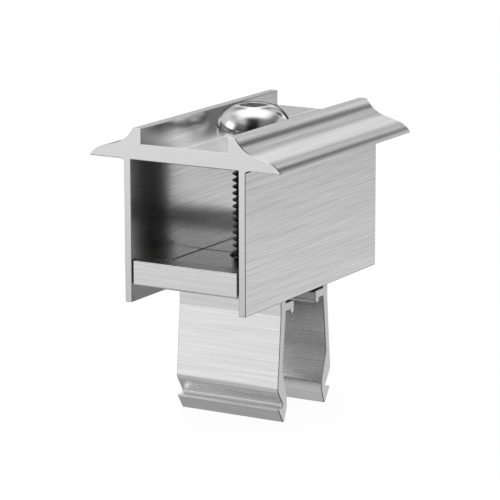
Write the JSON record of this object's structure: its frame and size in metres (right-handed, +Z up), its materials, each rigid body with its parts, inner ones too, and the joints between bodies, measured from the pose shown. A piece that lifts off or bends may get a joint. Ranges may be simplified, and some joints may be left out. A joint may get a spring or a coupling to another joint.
{
  "type": "solar mid clamp",
  "caption": "Click-in mid clamp for solar modules: a winged, serrated aluminium cap over a spring-legged rail base, drawn together by a button head screw.",
  "frame": {"origin": "under the middle of the clamp, level with the tips of the spring legs", "axes": "+Z up along the screw, X along the mounting rail and across the wings, Y along the module frames"},
  "size_m": [0.04, 0.05, 0.0578],
  "materials": {
    "cap_aluminium": "mill finish with fine extrusion streaks along the profile, sawn ends",
    "base_aluminium": "mill finish with fine extrusion streaks along the profile, sawn ends",
    "screw_stainless": "polished stainless steel head, darker thread",
    "nut_stainless": "pressed stainless steel"
  },
  "bodies": {
    "base": {"click_base": "base_aluminium", "channel_nut": "nut_stainless"},
    "cap": {"clamp_cap": "cap_aluminium"},
    "screw": {"clamp_screw": "screw_stainless"}
  },
  "joints": [
    {"name": "cap_slide", "type": "slide", "parent": "base", "child": "cap", "axis": [0, 0, 1], "range_m": [-0.018, 0]},
    {"name": "screw_turn", "type": "hinge", "parent": "cap", "child": "screw", "pos_m": [0, 0, 0.0534], "axis": [0, 0, -1], "range_deg": [0, 5184]}
  ],
  "couplings": [
    {"joint": "screw_turn", "follows": "cap_slide", "rad_per_m": -5026.5}
  ]
}
